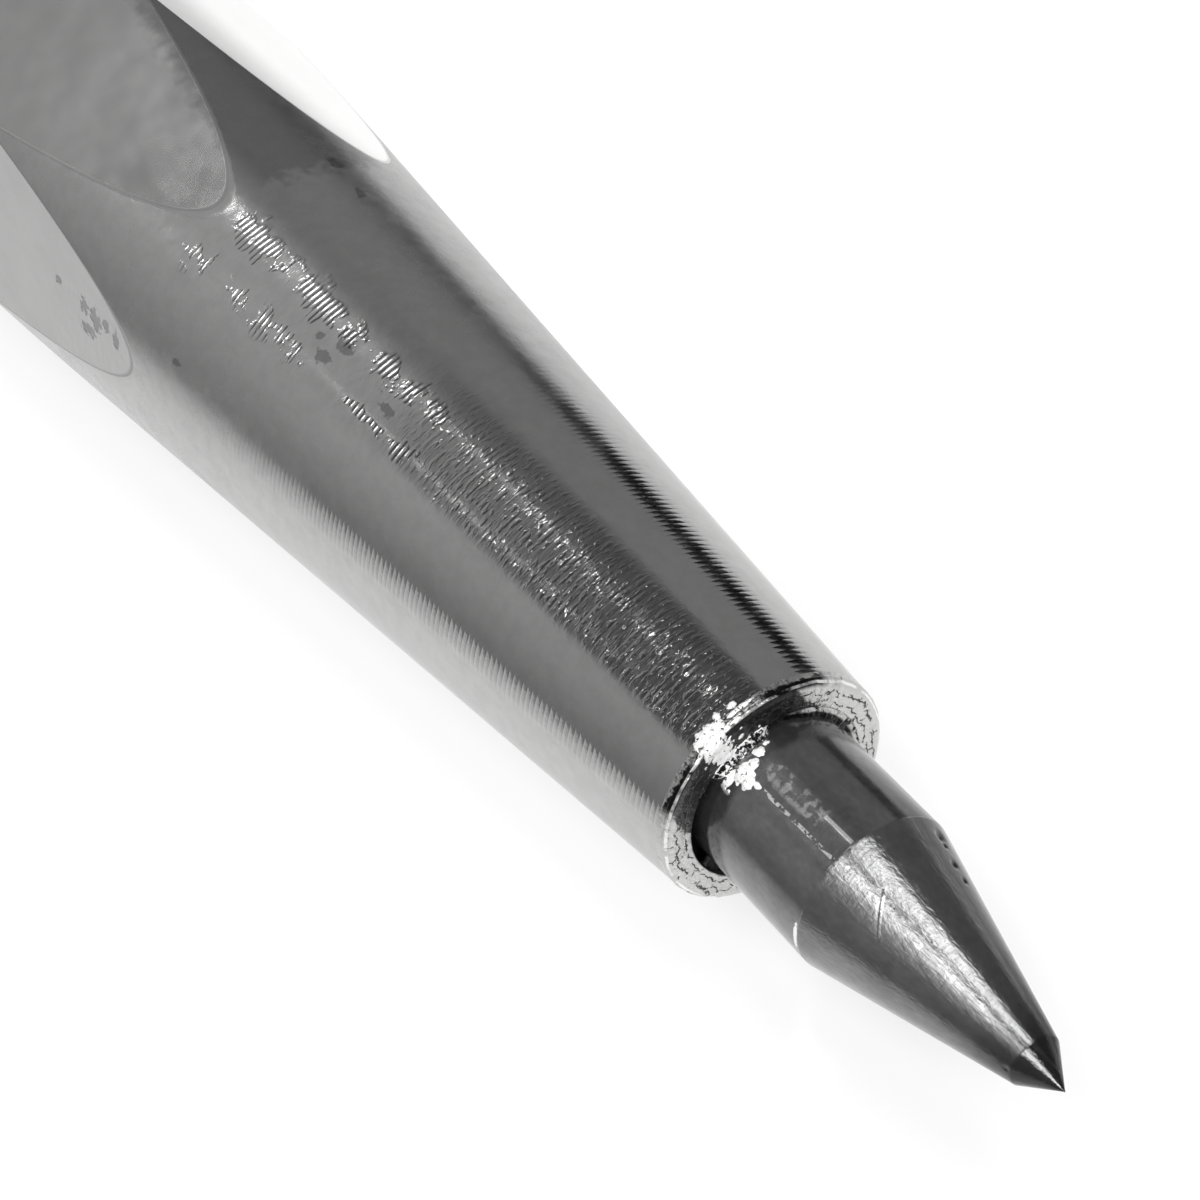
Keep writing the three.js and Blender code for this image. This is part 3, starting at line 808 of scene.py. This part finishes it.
BRAZE_START, BRAZE_END = 197, 497
BRAZE_RISE, BRAZE_FALL, BRAZE_LEVEL = (70, 80), (113, 122), (50, 70)
BRAZE_SUNK = 0.16 * MM
BRAZE_ANGLES = 481
BRAZE_RADII = 16

# Drops spilt over the nose's edge: distance from the edge along the outline (negative on the
# taper), angle, length, width round the nose, height; mm and degrees
NOSE_DROPS = (
    (-0.12, 101, 0.15, 0.33, 0.07), (0.08, 102.5, 0.17, 0.3, 0.09), (0.30, 102, 0.15, 0.25, 0.07),
    (0.46, 103, 0.12, 0.2, 0.06), (0.36, 91, 0.06, 0.07, 0.035), (0.50, 86, 0.05, 0.06, 0.03),
    (0.45, 80, 0.03, 0.04, 0.025), (0.55, 77.5, 0.04, 0.03, 0.025), (0.20, 89, 0.03, 0.05, 0.02),
    (0.25, 113.5, 0.05, 0.05, 0.02), (0.42, 116, 0.04, 0.04, 0.02),
    (-0.22, 85.6, 0.06, 0.09, 0.05), (-0.24, 93.4, 0.07, 0.07, 0.05),
    (-0.27, 99.8, 0.03, 0.035, 0.025), (-0.10, 84, 0.04, 0.33, 0.035),
    (0.04, 112.5, 0.04, 0.09, 0.03), (0.05, 119, 0.02, 0.09, 0.02), (0.02, 92, 0.04, 0.3, 0.02),
)

# Drops that ran out along the rod: place in front of the datum plane, then as above
ROD_DROPS = (
    (-0.05, 104, 0.16, 0.21, 0.07), (0.12, 106, 0.13, 0.15, 0.06), (0.30, 103.5, 0.11, 0.06, 0.03),
    (-0.05, 96, 0.11, 0.12, 0.05), (-0.15, 88, 0.09, 0.11, 0.04), (-0.20, 80.5, 0.05, 0.07, 0.03),
    (-0.08, 119, 0.05, 0.06, 0.03), (-0.20, 113, 0.1, 0.2, 0.06),
)


def drop_height(drops, place_mm, angle, radius):
    """Height of the spilt drops at a place on the surface, below zero where there is none."""
    spot = Vector((place_mm * 9, angle * radius / MM * 9, 0))
    rough = noise.noise(spot) + 0.5 * noise.noise(spot * 2.3)
    height = 0
    for drop_place, drop_angle, length, width, high in drops:
        a = (place_mm - drop_place) / length
        b = remainder(angle - radians(drop_angle), TAU) * radius / (width * MM)
        away = hypot(a, b) * (1 + 0.4 * rough)
        if away < 1.5:
            height = max(height, high * sqrt(max(1 - away * away, 0)))
    return (height * (1 + 0.25 * rough) - 0.012) * MM


def make_drops(name, drops, line, angles):
    """A closed sheet just under a turned surface that rises over it at the drops.

    The line is a list of (place in mm, x, radius, normal's tilt) along the surface.
    """
    rows = []
    for angle in span(radians(angles[0]), radians(angles[1]), 260):
        top, bottom = [], []
        for place_mm, x, radius, tilt in line:
            height = drop_height(drops, place_mm, angle, radius)
            for side, rise in ((top, height), (bottom, -0.05 * MM)):
                side.append(ring_point(x + rise * sin(tilt), radius + rise * cos(tilt), angle))
        rows.append(top + bottom[::-1])
    piece = tube(name, rows, [silver_braze()])
    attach(piece, "barrel")


def nose_line():
    """The nose's outline from the taper to the bore, for the drops."""
    line = []
    for place in spread(-0.42, -0.125, 24):
        x = NOSE_X - EDGE_BACK + place * MM
        line.append((place, x, taper_radius(x), radians(4.9)))
    profile = nose_profile()
    travelled = (profile[0][0] - NOSE_X + EDGE_BACK) / MM
    for (x0, r0, *_), (x1, r1, *_) in zip(profile, profile[1:-1]):
        travelled += hypot(x1 - x0, r1 - r0) / MM
        line.append((travelled, x1, r1, atan2(r0 - r1, x1 - x0)))
    return line


def make_braze():
    face = bar_high.x
    rows = []
    for degrees in span(BRAZE_START, BRAZE_END, BRAZE_ANGLES):
        angle, turn = radians(degrees), degrees % 360
        proud = smooth_step(*BRAZE_RISE, turn) * (1 - smooth_step(*BRAZE_FALL, turn))
        level = 1 - smooth_step(*BRAZE_LEVEL, remainder(turn, 360))
        sunk = lerp(BRAZE_SUNK, 0.03 * MM, level * (turn < 90 or turn > 288))
        top, bottom = [], []
        for radius in span(ROD_RADIUS - 0.05 * MM, BORE_RADIUS + 0.03 * MM, BRAZE_RADII):
            spot = Vector((cos(angle), sin(angle), 0)) * (radius / MM)
            rough = noise.noise(spot * 6) + 0.6 * noise.noise(spot * 14)
            out = (radius - ROD_RADIUS) / (0.16 * MM)
            rise = (0.06 + 0.08 * rough) * MM * exp(-out * out) - 0.01 * MM
            x = face + lerp(0.03 * rough * MM - sunk, rise, proud)
            top.append(ring_point(x, radius, angle))
            bottom.append(ring_point(face - 0.4 * MM, radius, angle))
        rows.append(top + bottom[::-1])
    piece = tube("braze_bead", rows, [silver_braze()])
    place(piece, "barrel", "braze", "braze_fillet")
    make_drops("braze_spill", NOSE_DROPS, nose_line(), (62, 126))
    rod_line = [(ahead, NOSE_X + ahead * MM, ROD_RADIUS, 0)
                for ahead in span(-0.45, 0.5, 60)]
    make_drops("braze_run", ROD_DROPS, rod_line, (74, 126))


# Cap, magnet and washer

KNURL_TEETH = 30
KNURL_DEPTH = 0.22 * MM
COLLAR_LENGTH = 2.6 * MM
GROOVE_WIDTH = 0.8 * MM
GROOVE_DEPTH = 0.35 * MM
CAP_EDGE_ROUND = 0.7 * MM
STUD_RADIUS = 1.95 * MM
STUD_NECK_RADIUS = 1.6 * MM
STUD_NECK_LENGTH = 1.1 * MM
THREAD_PITCH = 0.7 * MM
THREAD_DEPTH = 0.34 * MM
CAP_COLUMNS = KNURL_TEETH * 8


def triangle_wave(turns):
    """From 0 at whole turns to 1 half way between them."""
    return 1 - abs(2 * (turns % 1) - 1)


def rounded(x, size, count):
    """(x, radius) over the cap's edge; size is negative where the cap lies in front of x."""
    return [(x - size * (1 - sin(turn)), CAP_RADIUS - abs(size) * (1 - cos(turn)))
            for turn in span(0, pi / 2, count)]


def make_cap():
    grip_rear = CAP_REAR_X + COLLAR_LENGTH
    grip_front = CAP_FRONT_X - COLLAR_LENGTH
    stud_front = cap_high.x
    pocket_radius = MAGNET_RADIUS + 0.05 * MM
    neck_front = CAP_FRONT_X + STUD_NECK_LENGTH
    small = 0.02 * MM
    profile = [(magnet_high.x, pocket_radius), (CAP_REAR_X, pocket_radius)]
    profile += rounded(CAP_REAR_X, -CAP_EDGE_ROUND, 10)[::-1]
    groove = CAP_RADIUS - GROOVE_DEPTH
    for x, radius in ((grip_rear - GROOVE_WIDTH, CAP_RADIUS), (grip_rear - GROOVE_WIDTH, groove),
                      (grip_rear, groove), (grip_rear + small, groove)):
        profile += [(x - small, radius), (x, radius)]
    profile += [(x, CAP_RADIUS) for x in span(grip_rear + 2 * small, grip_front, 16)]
    for x, radius in ((grip_front + small, groove), (grip_front + GROOVE_WIDTH, groove),
                      (grip_front + GROOVE_WIDTH, CAP_RADIUS)):
        profile += [(x, radius), (x + small, radius)]
    profile += rounded(CAP_FRONT_X, GROOVE_DEPTH, 6)
    profile += [(CAP_FRONT_X, STUD_NECK_RADIUS), (neck_front, STUD_NECK_RADIUS)]
    thread_start = neck_front + 0.1 * MM
    thread_end = stud_front - 0.3 * MM
    thread_rows = int((thread_end - thread_start) / THREAD_PITCH * 10)
    profile += [(x, STUD_RADIUS) for x in span(thread_start, thread_end, thread_rows)]
    profile += [(stud_front, STUD_RADIUS - 0.4 * MM), (stud_front, 0.2 * MM)]

    def radius_at(x, radius, angle):
        if grip_rear + small < x < grip_front + small / 2:
            fade = smooth_step(0, 0.25 * MM, min(x - grip_rear, grip_front + small - x))
            return radius - KNURL_DEPTH * lerp(0.9, triangle_wave(angle / TAU * KNURL_TEETH), fade)
        if thread_start <= x <= thread_end:
            turns = (x - thread_start) / THREAD_PITCH - angle / TAU
            fade = smooth_step(0, THREAD_PITCH, min(x - thread_start, thread_end - x))
            return radius - THREAD_DEPTH * lerp(1, triangle_wave(turns), fade)
        return radius

    rows = [[ring_point(x, radius_at(x, radius, angle), angle)
             for angle in spread(0, TAU, CAP_COLUMNS)] for x, radius in profile]
    piece = tube("knurled_cap", rows, [cap_nickel()])
    sharpen(piece, 40)
    place(piece, "cap", "plated_cap", "end_cap")


def make_magnet():
    chamfer = 0.2 * MM
    profile = [(magnet_low.x, 0.3 * MM)]
    profile += [(magnet_low.x, r) for r in span(0.6 * MM, MAGNET_RADIUS - chamfer, 5)]
    profile += [(magnet_low.x + chamfer, MAGNET_RADIUS), (magnet_high.x, MAGNET_RADIUS),
                (magnet_high.x, 0.5 * MM)]
    rows = [[ring_point(x, radius, angle) for angle in spread(0, TAU, 96)]
            for x, radius in profile]
    piece = tube("magnet_slug", rows, [dull_magnet()])
    sharpen(piece, 30)
    place(piece, "cap", "magnet", "cap_magnet")


WASHER_INNER = 2.2 * MM
WASHER_OUTER = 3.05 * MM
WASHER_SPLIT = 0.5 * MM


def make_washer(steel):
    """A flat ring of square wire, split at the bottom by a slanting cut."""
    edge = 0.06 * MM
    low, high = washer_low.x, washer_high.x
    section = [(low + edge, WASHER_INNER), (low, WASHER_INNER + edge), (low, WASHER_OUTER - edge),
               (low + edge, WASHER_OUTER), (high - edge, WASHER_OUTER),
               (high, WASHER_OUTER - edge), (high, WASHER_INNER + edge),
               (high - edge, WASHER_INNER)]
    slant = tan(radians(30))
    rows = []
    for share in span(0, 1, 97):
        row = []
        for x, radius in section:
            half = WASHER_SPLIT / 2 / radius
            lean = (x - (low + high) / 2) * slant / radius
            angle = lerp(half + lean, TAU - half + lean, share) - pi / 2
            row.append(ring_point(x, radius, angle))
        rows.append(row)
    piece = tube("split_washer", rows, [steel])
    sharpen(piece, 30)
    place(piece, "barrel", "spring_steel", "spring_washer")


# Clip

CLIP_THICKNESS = eye_high.x - eye_low.x
EYE_RADIUS = CAP_RADIUS
EYE_HOLE_RADIUS = 2.15 * MM
CLIP_ROOT_HALF = 2.2 * MM
CLIP_FRONT_HALF = 1.6 * MM
CLIP_BEND_RADIUS = 0.9 * MM
CLIP_STANDOFF = 2.1 * MM
LIP_LENGTH = 3.4 * MM
LIP_ANGLE = radians(22)
BALL_RADIUS = 1.1 * MM
BALL_DEPTH = 0.6 * MM
BALL_GAP = 0.1 * MM
BEAD_HALF_WIDTH = 0.62 * MM
BEAD_HEIGHT = 0.25 * MM
BEAD_END = 5 * MM


def make_eye(steel):
    top = eye_high.z - AXIS_Z
    corner = atan2(top, CLIP_ROOT_HALF)
    foot = acos(CLIP_ROOT_HALF / EYE_RADIUS)
    angles = spread(foot, corner, 6) + spread(corner, pi - corner, 16)
    angles += spread(pi - corner, pi - foot, 6) + spread(pi - foot, foot + TAU, 80)

    def outer(angle):
        if foot <= angle <= pi - foot:
            side = CLIP_ROOT_HALF / max(abs(cos(angle)), 1e-6)
            return min(side, top / sin(angle))
        return EYE_RADIUS

    edge = 0.05 * MM
    rear, front = eye_low.x, eye_high.x
    section = [(front, 0, 0), (front, 1, -1), (front - edge, 1, 0), (rear + edge, 1, 0),
               (rear, 1, -1), (rear, 0, 0)]
    rows = [[ring_point(x, lerp(EYE_HOLE_RADIUS, outer(a), share) + inset * edge, a)
             for a in angles] for x, share, inset in section]
    piece = tube("clip_eye_plate", rows, [steel], loop=True)
    sharpen(piece, 30)
    place(piece, "barrel", "spring_steel", "clip_eye")


def clip_line():
    """Centre line of the bent strip as (point, normal) pairs in X and Z."""
    mid_x = (eye_low.x + eye_high.x) / 2
    flat_z = AXIS_Z + HEX_APOTHEM
    lip = Vector((cos(LIP_ANGLE), sin(LIP_ANGLE)))
    ball = Vector((arm_high.x - LIP_LENGTH * lip.x,
                   flat_z + BALL_GAP + BALL_DEPTH + CLIP_THICKNESS / 2))
    bend = Vector((mid_x + CLIP_BEND_RADIUS, flat_z + CLIP_STANDOFF - CLIP_BEND_RADIUS))
    slope = atan2(ball.y - flat_z - CLIP_STANDOFF, ball.x - bend.x)
    points = [Vector((mid_x, z)) for z in spread(eye_high.z, bend.y, 8)]
    points += [bend + CLIP_BEND_RADIUS * Vector((cos(turn), sin(turn)))
               for turn in span(pi, pi / 2 + slope, 16)]
    before = ball - BALL_RADIUS * Vector((cos(slope), sin(slope)))
    after = ball + BALL_RADIUS * lip
    points += spread(points[-1], before, 90)[1:]
    points += [lerp(lerp(before, ball, share), lerp(ball, after, share), share)
               for share in spread(0, 1, 24)]
    points += span(after, ball + LIP_LENGTH * lip, 24)
    line = []
    for i, point in enumerate(points):
        along = (points[min(i + 1, len(points) - 1)] - points[max(i - 1, 0)]).normalized()
        line.append((point, (-along.y, along.x)))
    return line, bend.x, ball.x


def make_clip(steel):
    line, start_x, ball_x = clip_line()
    across = [-1, -0.985, -0.94] + span(-0.85, 0.85, 33) + [0.94, 0.985, 1]
    edge = 0.08 * MM

    round_start = line[-1][0].x - CLIP_FRONT_HALF

    def half_width(x):
        if x > round_start:
            return sqrt(max(CLIP_FRONT_HALF ** 2 - (x - round_start) ** 2, 1e-9))
        share = max((x - start_x) / (round_start - start_x), 0)
        return lerp(CLIP_ROOT_HALF, CLIP_FRONT_HALF, share)

    def pressed(x, y):
        in_bead = smooth_step(start_x + BEAD_END - 1 * MM, start_x + BEAD_END, x)
        in_bead *= smooth_step(ball_x - BEAD_END + 1 * MM, ball_x - BEAD_END, x)
        bead = BEAD_HEIGHT * cos(min(abs(y) / BEAD_HALF_WIDTH, 1) * pi / 2) ** 2
        rim = sqrt(BALL_RADIUS ** 2 - (BALL_RADIUS - BALL_DEPTH) ** 2)
        away = hypot(x - ball_x, y) / rim
        ball = -BALL_DEPTH * cos(min(away, 1) * pi / 2) ** 1.3 if away < 1 else 0
        return bead * in_bead + ball

    rows = []
    for (x, z), (nx, nz) in line:
        row = []
        for side in (1, -1):
            for share in across[::side]:
                y = half_width(x) * share
                past = max(abs(share) - 0.9, 0) / 0.1
                thin = edge * (1 - sqrt(1 - past * past))
                rise = pressed(x, y) + side * (CLIP_THICKNESS / 2 - thin)
                row.append((x + nx * rise, y, z + nz * rise))
        rows.append(row)
    piece = tube("clip_strip", rows, [steel])
    sharpen(piece, 50)
    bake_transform(piece)
    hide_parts("clip_arm")


# Studio

FLOOR_HALF = 15.0
FLOOR_LEVEL = -0.00002
FLOOR_GLOW = 0.7
PANEL_HEIGHT = 0.5
PANEL_LENGTH = 0.32
LAMP_DISTANCE = 0.7

# Long panels overhead: name, lower and upper place across the tool, radiance
PANELS = (
    ("overhead_far_left", -0.45, -0.28, 0.9),
    ("overhead_mid_left", -0.27, -0.156, 2.6),
    ("overhead_left", -0.152, -0.016, 6.2),
    ("overhead_right", 0.062, 0.30, 5.6),
)

# Small lamps as seen from the nose: name, tilt from upright towards +X, lean towards +Y, size and
# radiance
LAMPS = (
    ("rear_upper", -43, 12, (0.07, 0.04), 12),
    ("rear_lower", -46.5, -23.3, (0.04, 0.04), 10),
    ("rod_left", -31.5, -19.6, (0.025, 0.05), 1.2),
    ("rod_right", -30.8, 13, (0.025, 0.03), 1.5),
    ("front_strip", 41, -8.3, (0.25, 0.14), 19),
)

# A dark card beside the tool, as photographers use on plated things, and the black line that it
# draws along the taper: x from the datum plane, lower and upper height over the floor, grey level
CARD_Y = 0.025
CARD_REACH = 42
CARD_EDGE = (
    (-10, 0, 6.6, 0),
    (-14.9, 0, 7.8, 0),
    (-18.5, 0.6, 8.2, 0),
    (-22.4, 1.8, 8.5, 0),
    (-26.5, 3.2, 8.4, 0.05),
    (-32, 3.2, 8.4, 0.09),
    (-42, 3, 8.4, 0.15),
)


def sheet(name, vertices, faces, material):
    mesh = bpy.data.meshes.new(name)
    mesh.from_pydata(vertices, [], faces)
    mesh.materials.append(material)
    made = link(name, mesh)
    return made


def make_floor():
    g = new_graph("pale_floor")
    seen = g.largest(*(g.make("ShaderNodeLightPath", f"Is {ray} Ray")
                       for ray in ("Camera", "Glossy", "Transmission")))
    material = g.finish(
        Base_Color=g.mix(seen, 0.8, 0.32),
        Roughness=0.9,
        Specular_IOR_Level=0,
        Coat_Weight=1,
        Coat_Roughness=0.15,
        Coat_IOR=1.5,
        Emission_Color=(1, 1, 1, 1),
        Emission_Strength=seen * FLOOR_GLOW,
    )
    corners = ((-1, -1), (1, -1), (1, 1), (-1, 1))
    floor = sheet("floor", [(x * FLOOR_HALF, y * FLOOR_HALF, 0) for x, y in corners],
                  [(0, 1, 2, 3)], material)
    floor.location.z = FLOOR_LEVEL


def make_card():
    vertices = [(NOSE_X + x * MM, CARD_Y, z * MM)
                for x, low, high, grey in CARD_EDGE for z in (low, high)]
    faces = [(i, i + 1, i + 3, i + 2) for i in range(0, 2 * len(CARD_EDGE) - 2, 2)]
    g = new_graph("flag_card")
    greys = g.ramp(g.axes()[0] / CARD_REACH + 1,
                   [(1 + x / CARD_REACH, grey) for x, low, high, grey in reversed(CARD_EDGE)])
    card = sheet("flag", vertices, faces, g.finish(
        Base_Color=(0.01, 0.01, 0.01, 1),
        Roughness=0.9,
        Specular_IOR_Level=0,
        Emission_Color=greys,
        Emission_Strength=1,
        Alpha=1 - g.make("ShaderNodeNewGeometry", "Backfacing"),
    ))
    card.visible_camera = False
    card.visible_diffuse = False
    card.visible_shadow = False


def area_light(name, location, size, radiance, aim):
    """A rectangular lamp of a given radiance, facing a point."""
    data = bpy.data.lights.new(name, "AREA")
    data.shape = "RECTANGLE"
    data.size, data.size_y = size
    data.energy = radiance * pi * size[0] * size[1]
    lamp = link(name, data)
    lamp.location = location
    lamp.rotation_euler = (Vector(aim) - lamp.location).to_track_quat("-Z", "Y").to_euler()


def make_lights():
    for name, low, high, radiance in PANELS:
        x, y = NOSE_X + 0.12, (low + high) / 2
        area_light(name, (x, y, PANEL_HEIGHT), (PANEL_LENGTH, high - low), radiance, (x, y, 0))
    nose = Vector((NOSE_X, 0, AXIS_Z))
    for name, tilt, lean, size, radiance in LAMPS:
        tilt, lean = radians(tilt), radians(lean)
        direction = Vector((sin(tilt), cos(tilt) * sin(lean),
                            cos(tilt) * cos(lean)))
        area_light(name, nose + direction * LAMP_DISTANCE, size, radiance, nose)


def make_world():
    """A plain grey studio, darker straight overhead and low down on the tool's +Y side."""
    world = bpy.data.worlds.new("studio")
    bpy.context.scene.world = world
    g = Graph(world)
    x, y, z = g.split(g.make("ShaderNodeTexCoord", "Generated"))
    rising = g.make("ShaderNodeMapRange", "Result", {
        "Value": z, "From Max": 0.65, "To Min": 0.22, "To Max": 0.38})
    sides = g.mix(g.band(y, -0.4, 0.3), rising, 0.28)
    lean = y / g.math("MAXIMUM", z, 0.05)
    near = g.mix(g.band(lean, -0.7, -0.6) * g.band(lean, 1.06, 0.96), sides, 0.09)
    far = g.mix(g.band(lean, 0.1, 0.6), rising * 1.7 - 0.14, 0.26)
    light = g.mix(g.band(x, -0.4, -0.6), near, far)
    light = g.mix(g.band(x, -0.35, -0.15) * g.band(y, 0.3, 0.55), light, 0.14)
    dim = g.band(z, 0.26, 0.06) * g.band(y, 0.45, 0.65) * g.band(x, -0.53, -0.62)
    g.feed(world.node_tree.nodes["Background"].inputs["Color"], g.mix(dim, light, 0.1))


# Camera: the photograph's view, from in front of the point and above

LENS_MM = 96
SENSOR_MM = 36
AXIS_TURN = radians(44.37)
AXIS_TILT = radians(38)
FLAT_TURN = radians(8.7)
NOSE_IN_VIEW = Vector((2.793, -3.060, -51.84)) * MM


def make_camera():
    """Places the camera so that the nose lies at NOSE_IN_VIEW and the axis at its tilt."""
    along = Vector((cos(AXIS_TILT) * cos(AXIS_TURN),
                    -cos(AXIS_TILT) * sin(AXIS_TURN), sin(AXIS_TILT)))
    towards = (Vector((0, 0, 1)) - along * along.z).normalized()
    across = Vector((sin(AXIS_TURN), cos(AXIS_TURN), 0))
    up = towards * cos(FLAT_TURN) + across * sin(FLAT_TURN)
    to_world = Matrix((along, up.cross(along), up))
    nose = Vector((NOSE_X - EDGE_BACK, 0, AXIS_Z))
    data = bpy.data.cameras.new("camera")
    data.lens = LENS_MM
    data.sensor_width = SENSOR_MM
    data.clip_start = 0.001
    data.clip_end = 100
    camera = link("camera", data)
    camera.matrix_world = Matrix.Translation(nose - to_world @ NOSE_IN_VIEW) @ to_world.to_4x4()
    bpy.context.scene.camera = camera


steel = satin_steel()
make_barrel()
make_rod()
make_braze()
make_eye(steel)
make_clip(steel)
make_washer(steel)
make_cap()
make_magnet()
make_floor()
make_lights()
make_card()
make_world()
make_camera()

bpy.context.scene.view_settings.view_transform = "Standard"
